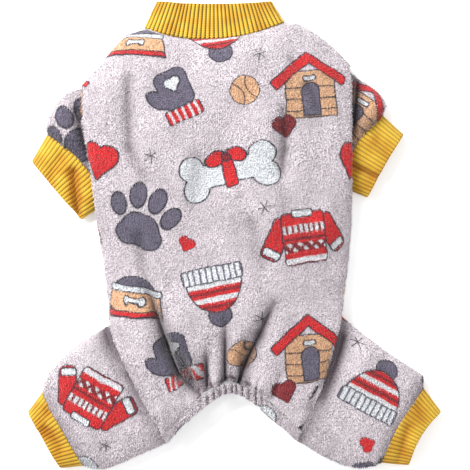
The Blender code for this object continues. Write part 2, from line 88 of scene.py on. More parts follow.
CREASES = {
    "back_panel": [
        Crease(-32.0, -123.0, -45.0, -111.0, 9.0, 6.0, 0.0),
        Crease(-45.0, -111.0, -53.0, -88.0, 10.5, 7.0, 0.0),
        Crease(-53.0, -88.0, -60.0, -66.0, 10.0, 7.0, 0.25),
        Crease(-60.0, -66.0, -72.0, -34.0, 7.0, 7.0, 1.0),
        Crease(-30.0, -120.0, -46.0, -84.0, 6.0, 9.0, 0.7),
        Crease(-22.0, -119.0, -23.0, -92.0, 9.0, 5.0, 0.8),
        Crease(-8.0, -115.0, -7.0, -62.0, 8.6, 4.4, 1.0),
        Crease(3.5, -118.0, 9.8, -100.5, 10.0, 5.6, 0.0),
        Crease(9.8, -100.5, 20.0, -79.0, 10.0, 6.4, 0.25),
        Crease(20.0, -79.0, 34.0, -48.0, 7.2, 6.4, 1.0),
        Crease(5.0, -112.0, 12.0, -80.0, 3.2, 8.0, 0.7),
        Crease(-2.5, -116.0, -1.0, -88.0, -2.6, 2.8, 1.0),
        Crease(-15.5, -118.0, -15.0, -82.0, -2.6, 3.2, 1.0),
        Crease(-28.0, -120.0, -36.0, -84.0, -2.0, 4.0, 1.0),
        Crease(-44.0, -132.0, -66.0, -96.0, -2.4, 6.0, 1.0),
        Crease(22.0, -120.0, 34.0, -84.0, -2.6, 5.5, 1.0),
        Crease(30.0, -128.0, 40.0, -102.0, 2.4, 3.6, 1.0),
        Crease(-60.0, -140.0, -76.0, -78.0, -2.6, 8.0, 1.0),
        Crease(-84.0, 122.0, -82.0, 68.0, 3.6, 6.0, 0.2),
        Crease(-82.0, 68.0, -66.0, 34.0, 3.4, 6.0, 1.0),
        Crease(46.0, 138.0, 58.0, 118.0, 2.0, 4.0, 1.0),
        Crease(38.0, 98.0, 39.6, 66.0, 2.9, 5.4, 0.0),
        Crease(39.6, 66.0, 36.0, 34.0, 2.9, 5.4, 1.0),
        Crease(24.0, 92.0, 29.0, 60.0, -2.0, 7.0, 1.0),
        Crease(35.0, 40.0, 32.0, -4.0, -2.6, 7.0, 1.0),
        Crease(58.0, 120.0, 74.0, 82.0, 3.2, 5.0, 1.0),
        Crease(70.0, 20.0, 66.0, -60.0, -1.8, 8.0, 1.0),
        Crease(-30.0, 60.0, -38.0, 0.0, 2.0, 9.0, 1.0),
        Crease(-76.0, -2.0, -70.0, -50.0, 2.6, 6.0, 1.0),
        Crease(14.0, 10.0, 22.0, -36.0, 2.0, 8.0, 1.0),
    ],
    "sleeve_left": [
        Crease(-127.0, 98.0, -113.0, 50.0, 4.2, 4.8, 0.5),
        Crease(-140.0, 84.0, -130.0, 66.0, -1.2, 5.0, 1.0),
    ],
    "sleeve_right": [
        Crease(99.0, 124.0, 94.0, 84.0, 5.6, 5.6, 0.4),
        Crease(112.0, 106.0, 104.0, 84.0, -1.2, 4.0, 1.0),
    ],
    "leg_left": [
        Crease(-106.0, -72.0, -94.0, -106.0, 4.8, 9.0, 0.8),
        Crease(-84.0, -112.0, -72.0, -148.0, 2.2, 5.0, 0.8),
        Crease(-146.0, -122.0, -128.0, -140.0, 1.2, 5.0, 1.0),
        Crease(-122.0, -96.0, -112.0, -134.0, -1.4, 8.0, 1.0),
    ],
    "leg_right": [
        Crease(87.0, -82.0, 73.0, -128.0, 4.4, 10.0, 0.5),
        Crease(106.0, -92.0, 100.0, -120.0, -1.4, 7.0, 1.0),
        Crease(150.0, -116.0, 132.0, -134.0, 1.2, 5.0, 1.0),
    ],
    "tail_hem": [Crease(-36.0, -125.0, -24.0, -120.0, 2.2, 5.0, 1.0)],
    "sleeve_cuff_left": [
        Crease(-129.0, 50.0, -125.5, 17.0, 4.6, 4.2, 0.0),
        Crease(-139.0, 63.0, -150.0, 42.0, 1.8, 5.0, 0.3),
        Crease(-112.0, 40.0, -121.0, 20.0, -1.0, 5.0, 0.3),
    ],
    "sleeve_cuff_right": [
        Crease(94.0, 56.5, 118.0, 44.5, 3.4, 2.6, 0.0),
        Crease(112.0, 84.0, 124.0, 62.0, 1.0, 5.0, 0.5),
    ],
    "neck_rib": [
        Crease(-40.0, 187.0, -44.0, 166.0, 1.4, 7.0, 0.6),
        Crease(18.0, 186.0, 22.0, 168.0, 1.0, 8.0, 0.6),
    ],
    "leg_cuff_left": [
        Crease(-150.0, -142.0, -158.0, -152.0, 1.4, 5.0, 0.5),
        Crease(-152.0, -156.0, -140.0, -170.0, 2.6, 5.0, 0.2),
    ],
    "leg_cuff_right": [
        Crease(139.0, -154.0, 131.0, -182.0, 1.8, 4.0, 0.2),
        Crease(146.0, -138.0, 157.0, -154.0, 1.2, 5.0, 0.5),
    ],
}


class RibEnd(NamedTuple):
    """One end of a rib tube as it lies: its two corners, its bow and its height, in millimetres."""

    x0: float
    y0: float
    x1: float
    y1: float
    bow: float
    loft: float
    rim: float


class RibTube(NamedTuple):
    """A rib tube between its sewn end and its open end.

    curve shapes both bows, stretch widens the ribs' pitch, and relief is the share of a rib's full height.
    """

    sewn: RibEnd
    opening: RibEnd
    curve: float
    stretch: float
    relief: float


RIB_TUBES = {
    "neck_rib": RibTube(
        RibEnd(-72.2, 165.95, 39.5, 170.8, 12.4, 18.6, 7.0),
        RibEnd(-62.1, 188.0, 29.5, 188.0, 3.1, 14.5, 5.8),
        2.2, 1.08, 1.0,
    ),
    "sleeve_cuff_left": RibTube(
        RibEnd(-150.5, 80.4, -103.4, 25.3, -6.9, 14.1, 5.6),
        RibEnd(-163.2, 59.1, -123.8, 12.5, 0.0, 13.2, 5.3),
        2.0, 1.06, 0.6,
    ),
    "sleeve_cuff_right": RibTube(
        RibEnd(118.8, 96.2, 84.7, 39.4, 6.2, 14.1, 5.6),
        RibEnd(136.2, 80.7, 107.3, 30.3, 1.2, 13.2, 5.3),
        2.0, 1.06, 0.6,
    ),
    "leg_cuff_left": RibTube(
        RibEnd(-154.5, -126.4, -121.5, -185.2, 0.0, 14.4, 5.8),
        RibEnd(-166.2, -142.5, -140.2, -187.3, 0.0, 13.6, 5.4),
        2.0, 1.02, 0.6,
    ),
    "leg_cuff_right": RibTube(
        RibEnd(152.0, -123.1, 117.2, -183.1, 3.4, 14.4, 5.8),
        RibEnd(166.2, -142.3, 140.4, -184.9, 4.6, 13.6, 5.4),
        2.0, 1.02, 0.6,
    ),
}


class FleeceSettings(bpy.types.PropertyGroup):
    ground: bpy.props.FloatVectorProperty(
        name="Ground",
        description="Colour of the unprinted plush",
        subtype="COLOR",
        size=3,
        default=(0.87, 0.83, 0.855),
    )
    nap: bpy.props.FloatProperty(
        name="Nap",
        description="Unevenness of the cloth under its pile",
        default=0.0003,
        unit="LENGTH",
    )
    pile: bpy.props.FloatProperty(
        name="Pile",
        description="Length of the tufts of the plush",
        default=0.0019,
        unit="LENGTH",
    )
    ripple: bpy.props.FloatProperty(
        name="Ripple",
        description="Height of the soft waves in the lying cloth",
        default=0.0026,
        unit="LENGTH",
    )
    mesh_step: bpy.props.FloatProperty(
        name="Mesh step",
        description="Spacing of the cloth's mesh",
        default=0.0015,
        unit="LENGTH",
    )


class RibSettings(bpy.types.PropertyGroup):
    yarn: bpy.props.FloatVectorProperty(
        name="Yarn",
        description="Colour of the rib knit",
        subtype="COLOR",
        size=3,
        default=(0.96, 0.78, 0.25),
    )
    pitch: bpy.props.FloatProperty(
        name="Pitch",
        description="Distance from one rib to the next",
        default=0.0030,
        unit="LENGTH",
    )
    relief: bpy.props.FloatProperty(
        name="Relief",
        description="Height of a rib over its groove",
        default=0.0013,
        unit="LENGTH",
    )


class StageSettings(bpy.types.PropertyGroup):
    floor: bpy.props.FloatVectorProperty(
        name="Floor",
        description="Colour of the floor",
        subtype="COLOR",
        size=3,
        default=(0.97, 0.97, 0.97),
    )
    view_width: bpy.props.FloatProperty(
        name="View width",
        description="Width that the camera takes in at the cloth",
        default=0.376,
        unit="LENGTH",
    )


def to_linear(colour):
    """Turns an sRGB hex string, or three sRGB shares, into a linear colour with alpha."""
    if isinstance(colour, str):
        colour = [int(colour[i : i + 2], 16) / 255 for i in (0, 2, 4)]
    return tuple(c / 12.92 if c <= 0.04045 else ((c + 0.055) / 1.055) ** 2.4 for c in colour) + (1.0,)


def smooth_step(low, high, value):
    share = max(0.0, min(1.0, (value - low) / (high - low)))
    return share * share * (3 - 2 * share)


def new_object(name, mesh):
    piece = bpy.data.objects.new(name, mesh)
    bpy.context.scene.collection.objects.link(piece)
    return piece


def add(tree, kind, values=(), **settings):
    """Adds a shader node with its settings. A value that is a socket is linked, and a number is set."""
    made = tree.nodes.new(kind)
    for name, value in settings.items():
        setattr(made, name, value)
    pairs = values.items() if isinstance(values, dict) else enumerate(values)
    for place, value in pairs:
        if isinstance(value, bpy.types.NodeSocket):
            tree.links.new(value, made.inputs[place])
        elif value is not None:
            made.inputs[place].default_value = value
    return made


def creased(name, x, y):
    """How a piece's creases move its upper cloth at a point, down and in towards them, in millimetres."""
    cubes = rise = strongest = 0.0
    inward = (0.0, 0.0)
    for c in CREASES.get(name, ()):
        rx, ry = c.x1 - c.x0, c.y1 - c.y0
        share = max(0.0, min(1.0, ((x - c.x0) * rx + (y - c.y0) * ry) / (rx * rx + ry * ry)))
        dx, dy = x - c.x0 - rx * share, y - c.y0 - ry * share
        apart = (dx * dx + dy * dy) / (c.width * c.width)
        if apart < 9:
            depth = c.depth * math.exp(-apart) * (1 - c.fade * share * share)
            if depth < 0:
                rise -= depth
                continue
            cubes += depth**3
            if depth > strongest:
                strongest = depth
                pinch = 0.12 * min(5.0, depth)
                inward = (-dx * pinch, -dy * pinch)
    return Vector((*inward, rise - cubes ** (1 / 3)))


def tail_arch(x):
    """The height of the tail hem's gathering seam at x, in millimetres."""
    share = min(1.0, abs((x + 2.0) / 54.0))
    return -113.5 - 40.0 * share**1.5


def gathers(x, y):
    """Pleats that run up from the tail hem, close together and fading into the back, in millimetres."""
    above = y - tail_arch(x)
    strength = smooth_step(30.0, 18.0, abs(x + 1.5)) * smooth_step(20.0, -1.0, above)
    if strength <= 0:
        return 0.0
    spread = x * (1 - 0.012 * max(0.0, above))
    wander = 1.6 * noise.noise(Vector((x * 0.08, y * 0.05, 3.0)))
    turns = 2 * math.pi * (spread + wander)
    pleat = 1.3 * math.cos(turns / 4.9) + 0.5 * math.cos(turns / 3.1)
    stitched = 1.8 * math.exp(-((above / 1.8) ** 2))
    return strength * (pleat - stitched)


def soft_waves(x, y):
    """Broad soft waves, longer down the garment than across, from -1 to 1."""
    broad = noise.noise(Vector((x / 46, y / 92, 0.0)))
    fine = noise.noise(Vector((x / 19, y / 34, 7.0)))
    return 1.15 * broad + 0.45 * fine


def cad_tree(names):
    """The surfaces of some CAD pieces, to measure to."""
    points, faces = [], []
    for name in names:
        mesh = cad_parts[name].data
        faces += [[len(points) + i for i in face.vertices] for face in mesh.polygons]
        points += [vertex.co.copy() for vertex in mesh.vertices]
    return BVHTree.FromPolygons(points, faces)


def close_seams(bm, name):
    """Draws the edges sewn to another piece up to it, so that a seam is a soft groove and not a slot."""
    others = cad_tree([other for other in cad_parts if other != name])
    fold = bm.verts.layers.float.new("fold")
    # Painted shade: cloth near another piece is marked darker, more strongly and further out on the limbs,
    # for the shade where the pieces meet.
    shade, spread = (0.55, 14.0 * MM) if name in LIMB_PIECES else (0.22, 7.0 * MM)
    for vertex in bm.verts:
        near, _, _, gap = others.find_nearest(vertex.co, spread)
        if near is not None:
            vertex[fold] = shade * (1 - gap / spread) ** 1.5
            vertex.co += (near - vertex.co) * 0.9 * smooth_step(3.4 * MM, 1.1 * MM, gap)


def shape_cloth(bm, name, settings, place):
    """Lays folds, waves and gathers into the upper cloth, and gives it its place on the printed bolt."""
    layer = bm.loops.layers.uv.new("cut")
    fold = bm.verts.layers.float["fold"]
    bm.normal_update()
    top = max(v.co.z for v in bm.verts)
    shift_x, shift_y, turn = place
    spin = Matrix.Rotation(math.radians(turn), 2)
    for face in bm.faces:
        for loop in face.loops:
            v = loop.vert
            flat = Vector((v.co.x, v.co.y)) + Vector((v.normal.x, v.normal.y)) * (top - v.co.z) * 0.8
            loop[layer].uv = spin @ flat + Vector((shift_x, shift_y)) * MM
    for vertex in bm.verts:
        x, y, z = vertex.co / MM
        weight = smooth_step(UPPER_LOW, UPPER_HIGH, z)
        if weight > 0 and name != "belly_panel":
            move = creased(name, x, y)
            # Painted shade: the deeper a crease, the darker the cloth is marked.
            vertex[fold] = min(1.0, vertex[fold] + weight * max(0.0, -move.z / 6))
            move.z += soft_waves(x, y) * settings.ripple / MM
            if name in ("back_panel", "tail_hem"):
                pleat = gathers(x, y)
                # Painted shade: the hollows between the pleats are marked darker.
                vertex[fold] = min(1.0, vertex[fold] + weight * max(0.0, -pleat) / 3)
                move.z += pleat
            vertex.co += weight * move * MM
    bm.normal_update()
    moves = [v.normal * noise.fractal(v.co / (2.6 * MM), 0.6, 2.0, 3) * settings.nap for v in bm.verts]
    for vertex, move in zip(bm.verts, moves):
        if vertex.co.z > 1.5 * MM:
            vertex.co += move
        vertex.co.z = max(vertex.co.z, 0.0)


def comb(point):
    """Which way the pile lies at a point: down the garment, turned here and there by handling."""
    turn = -90 + 75 * noise.noise(Vector((point.x / 0.030, point.y / 0.036, 2.0)))
    return Vector((math.cos(math.radians(turn)), math.sin(math.radians(turn)), 0.0))


def scatter(point):
    """A direction and length that vary from tuft to tuft: noise read at three places well apart."""
    places = ((9.3, -1.5, -8.0), (0.0, 0.0, 0.0), (6.3, 0.2, -2.7))
    return Vector([noise.noise(point + Vector(place)) for place in places])


def pile_over(bm, name, settings, material):
    """The pile on the outer cloth: each triangle of a copy of it is drawn into one leaning tuft."""
    cavity = cad_tree(list(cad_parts))
    outer = []
    for face in bm.faces:
        middle = face.calc_center_median()
        if face.normal.z < -0.35 or middle.z < 2.0 * MM:
            continue
        if cavity.ray_cast(middle + face.normal * 2.5 * MM, face.normal, 0.06)[0] is None:
            outer.append(face)
    tufts = bmesh.new()
    tufts.from_mesh(bm_to_mesh(bm, name + "_ground"))
    tufts.faces.ensure_lookup_table()
    bm.faces.index_update()
    kept = {face.index for face in outer}
    bmesh.ops.delete(tufts, geom=[f for f in tufts.faces if f.index not in kept], context="FACES")
    bmesh.ops.triangulate(tufts, faces=tufts.faces)
    bmesh.ops.split_edges(tufts, edges=tufts.edges)
    tufts.normal_update()
    # Each tuft's tip is marked for a painted highlight, and its root is left for painted shade in the
    # fleece's colour.
    bright = tufts.verts.layers.float.new("tip")
    reach = settings.pile * (1.35 if name.startswith("sleeve") else 1.0)
    for face in tufts.faces:
        middle = face.calc_center_median()
        normal = face.normal.copy()
        seed = middle / (0.8 * MM)
        roll = math.pi * noise.noise(middle / (0.4 * MM)) * 3
        side = normal.orthogonal().normalized()
        side = (Matrix.Rotation(roll, 3, normal) @ side) * 0.42 * MM
        length = reach * (0.85 + 0.5 * noise.noise(middle / (0.5 * MM)))
        lean = comb(middle) * 0.75 + normal * 0.6 + scatter(seed) * 0.9
        tip, left, right = (loop.vert for loop in face.loops)
        root = middle - normal * 0.15 * MM
        tip.co = middle + lean.normalized() * length
        tip.co.z = max(tip.co.z, 0.1 * MM)
        left.co, right.co = root - side, root + side
        tip[bright] = 1.0
    mesh = bm_to_mesh(tufts, name + "_pile")
    tufts.free()
    mesh.materials.append(material)
    piece = new_object(name + "_pile", mesh)
    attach(piece, "root")
    return piece


def bm_to_mesh(bm, name):
    mesh = bpy.data.meshes.new(name)
    bm.to_mesh(mesh)
    return mesh


def cloth_from(name, settings, place, material):
    """A fine cloth mesh round a CAD piece: remeshed evenly, smoothed, then folded and given its pile."""
    bm = bmesh.new()
    bm.from_mesh(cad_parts[name].data)
    bmesh.ops.remove_doubles(bm, verts=bm.verts, dist=1e-5)
    piece = new_object(name + "_cloth", bm_to_mesh(bm, name + "_cloth"))
    bm.free()
    even = piece.modifiers.new("Even mesh", "REMESH")
    even.mode = "VOXEL"
    even.voxel_size = settings.mesh_step * (0.6 if name == "tail_hem" else 1.0)
    even.adaptivity = 0.0
    graph = bpy.context.evaluated_depsgraph_get()
    shaped = bmesh.new()
    shaped.from_mesh(piece.evaluated_get(graph).to_mesh())
    piece.modifiers.remove(even)
    for _ in range(3):
        bmesh.ops.smooth_vert(
            shaped, verts=shaped.verts, factor=0.5, use_axis_x=True, use_axis_y=True, use_axis_z=True
        )
    close_seams(shaped, name)
    shape_cloth(shaped, name, settings, place)
    shaped.to_mesh(piece.data)
    tufts = pile_over(shaped, name, settings, material)
    shaped.free()
    piece.data.shade_smooth()
    piece.data.materials.clear()
    piece.data.materials.append(material)
    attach(piece, "root")
    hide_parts(name)
    return piece


def section_outline(end, curve, inset, count):
    """Even points round one end of a rib tube, over its top and back along the floor, and its length."""
    start = Vector((end.x0, end.y0))
    half = (Vector((end.x1, end.y1)) - start) / 2
    across = half.normalized()
    onward = Vector((across.y, -across.x))
    fine = 240
    points = []
    for i in range(2 * fine):
        upper = i < fine
        turn = math.pi * (i / fine if upper else (i - fine) / fine)
        lateral = -math.cos(turn) * (1 if upper else -1)
        reach = min(1.0, abs(lateral))
        aside = (half.length - inset) * lateral
        flat = start + half + across * aside + onward * end.bow * (1 - abs(aside / half.length) ** curve)
        if upper:
            height = end.rim + (end.loft - inset - end.rim) * (1 - reach**SIDE_ROUND) ** (1 / TOP_ROUND)
        else:
            height = end.rim - (end.rim - inset) * math.sqrt(1 - reach**FLOOR_ROUND)
        points.append(Vector((flat.x, flat.y, height)))
    lengths = [0.0]
    for a, b in zip(points, points[1:] + points[:1]):
        lengths.append(lengths[-1] + (b - a).length)
    even = []
    at = 0
    for k in range(count):
        want = lengths[-1] * k / count
        while lengths[at + 1] < want:
            at += 1
        share = (want - lengths[at]) / max(1e-9, lengths[at + 1] - lengths[at])
        even.append(points[at % len(points)].lerp(points[(at + 1) % len(points)], share))
    return even, lengths[-1]


def rib_ring(name, ends, curve, share, inset, ribs, steps, relief):
    """One row of a rib tube. Every rib is a rounded ridge that stands out from its grooves."""
    count = ribs * steps
    near, _ = section_outline(ends[0], curve, inset, count)
    far, _ = section_outline(ends[1], curve, inset, count)
    line = [a.lerp(b, share) for a, b in zip(near, far)]
    middle = sum(line, Vector()) / count
    ring = []
    for i, point in enumerate(line):
        run = (line[(i + 1) % count] - line[i - 1]).normalized()
        down = (far[i] - near[i]).normalized()
        out = run.cross(down)
        if out.dot(point - middle) < 0:
            out = -out
        phase = (i % steps) / steps
        ridge = abs(math.sin(math.pi * phase)) ** 0.75
        bite = noise.noise(Vector((point.x * 0.12, point.y * 0.12, point.z * 0.1))) * 0.25
        lift = relief * (ridge - 0.55) + bite
        moved = point + out * lift + creased(name, point.x, point.y) * smooth_step(6.0, 10.0, point.z)
        moved.z = max(0.0, moved.z)
        ring.append(moved * MM)
    return ring


def extrude_ring(bm, row, points):
    """Extrudes a ring of vertices to the next ring's points and returns the new ring."""
    edges = [bm.edges.get((a, b)) for a, b in zip(row, row[1:] + row[:1])]
    made = bmesh.ops.extrude_edge_only(bm, edges=edges)["geom"]
    fresh = {item for item in made if isinstance(item, bmesh.types.BMVert)}
    following = []
    for vertex, point in zip(row, points):
        partner = next(e.other_vert(vertex) for e in vertex.link_edges if e.other_vert(vertex) in fresh)
        partner.co = point
        following.append(partner)
    return following


def rib_tube(name, settings, material):
    """A knitted tube: ribbed outside and inside, with a soft folded edge."""
    near, far, curve, stretch, depth_share = RIB_TUBES[name]
    pitch = settings.pitch / MM * stretch
    relief = settings.relief / MM * depth_share
    perimeter = sum(section_outline(end, curve, 0.0, 8)[1] for end in (near, far)) / 2
    ribs = round(perimeter / pitch)
    steps = 8
    sewn = Vector((near.x0 + near.x1, near.y0 + near.y1))
    depth = (sewn - Vector((far.x0 + far.x1, far.y0 + far.y1))).length / 2
    rows = max(12, round(depth / 1.2))
    course = [(k / rows, 0.0, relief) for k in range(rows)]
    for k in range(5):
        turn = math.pi * k / 4
        edge = 1 - 0.045 + 0.045 * math.sin(turn)
        course.append((edge, RIB_WALL * (1 - math.cos(turn)) / 2, relief * (1 - 0.25 * k)))
    course += [(1 - k / 6, RIB_WALL, 0.0) for k in range(1, 6)]
    course.append((0.0, RIB_WALL, 0.0))
    bm = bmesh.new()
    first = None
    row = None
    for share, inset, ridge in course:
        points = rib_ring(name, (near, far), curve, share, inset, ribs, steps, ridge)
        if first is None:
            row = [bm.verts.new(point) for point in points]
            for pair in zip(row, row[1:] + row[:1]):
                bm.edges.new(pair)
            first = list(row)
        else:
            row = extrude_ring(bm, row, points)
    edges = [bm.edges.get(pair) for ring in (first, row) for pair in zip(ring, ring[1:] + ring[:1])]
    bmesh.ops.bridge_loops(bm, edges=edges)
    bmesh.ops.recalc_face_normals(bm, faces=bm.faces)
    layer = bm.loops.layers.uv.new("cut")
    count = ribs * steps
    bm.verts.index_update()
    fold = bm.verts.layers.float.new("fold")
    groove = bm.verts.layers.float.new("groove")
    for vertex in bm.verts:
        x, y, z = vertex.co / MM
        vertex[groove] = depth_share
        # Painted shade: the creases of a rib tube are marked to turn its yarn a darker orange.
        vertex[fold] = max(0.0, min(1.0, -creased(name, x, y).z / 4)) * smooth_step(4.0, 8.0, z)
    for face in bm.faces:
        columns = [loop.vert.index % count for loop in face.loops]
        wraps = max(columns) - min(columns) > count / 2
        for loop, column in zip(face.loops, columns):
            ring = loop.vert.index // count
            across = column + (count if wraps and column < count / 2 else 0)
            share = course[min(ring, len(course) - 1)][0]
            loop[layer].uv = (across / steps * settings.pitch, share * depth * MM)
    mesh = bpy.data.meshes.new(name + "_knit")
    bm.to_mesh(mesh)
    bm.free()
    mesh.shade_smooth()
    mesh.materials.append(material)
    piece = new_object(name + "_knit", mesh)
    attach(piece, "root")
    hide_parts(name)
    # The strip is knitted flat: its ridges take up some of the width, and its folded edge some of the depth.
    return piece


class Print:
    """Draws motifs as distance fields, painted one over the other, on a cloth whose print repeats."""

    REPEAT = 210.0
    SOFT = 0.5
    LINE = 0.42

    def __init__(self, tree, point, ground):
        self.tree = tree
        self.point = point
        self.colour = ground
        self.local = None

    def maths(self, operation, *values, clamp=False):
        return add(self.tree, "ShaderNodeMath", values, operation=operation, use_clamp=clamp).outputs[0]

    def vector(self, operation, *values, output=0):
        return add(self.tree, "ShaderNodeVectorMath", values, operation=operation).outputs[output]

    def motif(self, x, y, turn, size=1.0):
        """Starts a motif: its own coordinates, centred at x, y on the repeat, turned and scaled."""
        moved = self.vector("SUBTRACT", self.point, (x, y, 0.0))
        reach = self.REPEAT / 2
        wrapped = self.vector("WRAP", moved, (reach, reach, 1.0), (-reach, -reach, -1.0))
        self.local = add(
            self.tree, "ShaderNodeMapping",
            {0: wrapped, 2: (0.0, 0.0, math.radians(-turn)), 3: (1 / size, 1 / size, 1.0)},
            vector_type="POINT",
        ).outputs[0]

    def ellipse(self, x, y, wide, tall, turn=0.0):
        """Distance to an ellipse with those half sizes."""
        placed = add(
            self.tree, "ShaderNodeMapping",
            {0: self.local, 1: (x, y, 0.0), 2: (0.0, 0.0, math.radians(turn)), 3: (wide, tall, 1.0)},
            vector_type="TEXTURE",
        ).outputs[0]
        length = self.vector("LENGTH", placed, output="Value")
        size = min(wide, tall)
        return self.maths("MULTIPLY_ADD", length, size, -size)

    def block(self, x, y, wide, tall, radius, turn=0.0):
        """Distance to a rounded rectangle: half sizes of its core, and the radius round it."""
        placed = add(
            self.tree, "ShaderNodeMapping",
            {0: self.local, 1: (x, y, 0.0), 2: (0.0, 0.0, math.radians(turn))},
            vector_type="TEXTURE",
        ).outputs[0]
        past = self.vector("SUBTRACT", self.vector("ABSOLUTE", placed), (wide, tall, 0.0))
        outside = self.vector("MAXIMUM", past, (0.0, 0.0, 0.0))
        return self.maths("SUBTRACT", self.vector("LENGTH", outside, output="Value"), radius)

    def beyond(self, x, y, turn):
        """Distance past a straight line through x, y that faces the turn, negative behind it."""
        facing = (math.cos(math.radians(turn)), math.sin(math.radians(turn)), 0.0)
        along = self.vector("DOT_PRODUCT", self.local, facing, output="Value")
        return self.maths("SUBTRACT", along, x * facing[0] + y * facing[1])

    def join(self, *shapes, blend=0.0):
        made = shapes[0]
        for shape in shapes[1:]:
            if blend:
                made = self.maths("SMOOTH_MIN", made, shape, blend)
            else:
                made = self.maths("MINIMUM", made, shape)
        return made

    def common(self, *shapes):
        made = shapes[0]
        for shape in shapes[1:]:
            made = self.maths("MAXIMUM", made, shape)
        return made

    def stripes(self, across, pitch, turn=0.0, shift=0.0):
        """Distance to bands of that half width and pitch, counted along the turn."""
        along = self.beyond(0.0, 0.0, turn)
        wave = self.maths("PINGPONG", self.maths("ADD", along, 100 * pitch + shift), pitch / 2)
        return self.maths("SUBTRACT", wave, across)

    def paint(self, shape, colour, line=True):
        """Paints the inside of a shape, and draws its edge with a dark line."""
        inside = self.maths("MULTIPLY_ADD", shape, -1 / self.SOFT, 0.5, clamp=True)
        self.mix(inside, colour)
        if line:
            self.stroke(shape)

    def stroke(self, shape, within=None):
        edge = self.maths("ABSOLUTE", shape)
        if within is not None:
            edge = self.common(edge, within)
        line = self.maths("MULTIPLY_ADD", edge, -1 / self.SOFT, 0.5 + self.LINE / self.SOFT, clamp=True)
        self.mix(line, INK)

    def mix(self, share, colour):
        self.colour = add(
            self.tree, "ShaderNodeMix", {0: share, 6: self.colour, 7: to_linear(colour)}, data_type="RGBA"
        ).outputs[2]


INK = "2E2A3A"
SLATE = "6F687C"
TAN = "F0BE94"
RED = "DC2026"
WINE = "8A1D26"
PALE = "ECEFF3"
# The purple-brown of the painted shade in the fleece's creases, pleats and seams.
FOLD_SHADE = "5E4A58"
# The deeper orange of the painted shade on the rib knit.
SHADE_YARN = "D08A14"


def draw_bone(p, x, y, turn, size, body):
    p.motif(x, y, turn, size)
    knobs = [p.ellipse(sx * 22, sy * 6.2, 8.2, 7.6) for sx in (-1, 1) for sy in (-1, 1)]
    p.paint(p.join(p.block(0, 0, 20, 1.5, 5.2), *knobs, blend=1.5), body)
    p.paint(p.block(0, 0, 2.6, 7.6, 1.2), RED)
    p.paint(p.join(p.ellipse(-6.5, 9.5, 6.4, 4.2, 22), p.ellipse(6.5, 9.5, 6.4, 4.2, -22)), RED)
    p.paint(p.ellipse(0, 9.0, 2.6, 2.6), WINE)


def draw_paw(p, x, y, turn, size):
    p.motif(x, y, turn, size)
    lobes = [p.ellipse(side * 6.5, -11.5, 6.4, 5.8) for side in (-1, 1)]
    pad = p.join(p.ellipse(0, -8, 10.5, 8.4), *lobes, blend=2.0)
    toes = [
        p.ellipse(-14.5, 2.0, 4.3, 6.2, 28), p.ellipse(-5.4, 9.0, 4.5, 6.8, 8),
        p.ellipse(5.4, 9.0, 4.5, 6.8, -8), p.ellipse(14.5, 2.0, 4.3, 6.2, -28),
    ]
    p.paint(p.join(pad, *toes), SLATE)


def draw_heart(p, x, y, turn, size, colour):
    p.motif(x, y, turn, size)
    lobes = [p.ellipse(side * 4.6, 4.6, 6.5, 6.5) for side in (-1, 1)]
    p.paint(p.join(p.block(0, 0, 4.6, 4.6, 1.9, 45), *lobes), colour)


def draw_kennel(p, x, y, turn, size):
    p.motif(x, y, turn, size)
    wall = p.common(p.block(0, -6, 15, 14, 0.6), p.beyond(0, 14, 58), p.beyond(0, 14, 122))
    p.paint(wall, TAN)
    p.stroke(p.stripes(0.0, 7.0, 90, 2.0), p.common(wall, p.beyond(0, 3, 90)))
    door = p.join(p.block(0, -13, 4.4, 6.4, 1.0), p.ellipse(0, -5, 5.6, 5.8))
    p.paint(p.common(door, p.beyond(0, -19.5, 270)), SLATE)
    p.paint(p.join(p.block(-10.4, 9.4, 14.2, 1.4, 1.6, 38), p.block(10.4, 9.4, 14.2, 1.4, 1.6, -38)), RED)
    p.paint(p.block(0, 3.6, 2.6, 0.2, 1.3), PALE)


def draw_hat(p, x, y, turn, size):
    p.motif(x, y, turn, size)
    p.paint(p.ellipse(0, 18.5, 7.2, 6.8), SLATE)
    dome = p.common(p.ellipse(0, -4, 17, 20), p.beyond(0, -4, 270))
    p.paint(dome, RED, line=False)
    p.paint(p.common(dome, p.stripes(1.5, 9.0, 90, 1.0)), PALE, line=False)
    p.paint(p.common(dome, p.stripes(0.9, 9.0, 90, 5.6)), WINE, line=False)
    p.stroke(dome)
    brim = p.block(0, -7, 16.5, 2.4, 2.2)
    p.paint(brim, PALE)
    p.paint(p.common(brim, p.stripes(0.55, 3.6)), SLATE, line=False)


def draw_jumper(p, x, y, turn, size):
    p.motif(x, y, turn, size)
    sleeves = p.join(p.block(-17.0, 1.0, 2.4, 9.0, 3.2, -30), p.block(17.0, 1.0, 2.4, 9.0, 3.2, 30))
    p.paint(sleeves, RED)
    cuffs = p.join(p.block(-20.8, -6.6, 3.4, 0.6, 1.6, -30), p.block(20.8, -6.6, 3.4, 0.6, 1.6, 30))
    p.paint(cuffs, PALE)
    body = p.block(0, 0, 10.5, 12.5, 2.5)
    p.paint(body, RED, line=False)
    band = p.common(body, p.block(0, 5.6, 30, 1.3, 1.0))
    p.paint(band, PALE, line=False)
    p.paint(p.common(band, p.stripes(0.7, 3.3)), WINE, line=False)
    p.paint(p.common(body, p.block(0, -0.2, 30, 0.1, 0.7)), WINE, line=False)
    yoke = p.common(body, p.block(0, -5.0, 30, 1.4, 1.1))
    p.paint(yoke, WINE, line=False)
    p.paint(p.common(yoke, p.stripes(0.9, 4.6, 45), p.stripes(1.4, 4.6, -45)), PALE, line=False)
    p.paint(p.common(body, p.block(0, -12.8, 30, 0.5, 1.0)), PALE, line=False)
    p.stroke(body)
    p.paint(p.block(0, 14.6, 4.8, 0.7, 1.5), PALE)


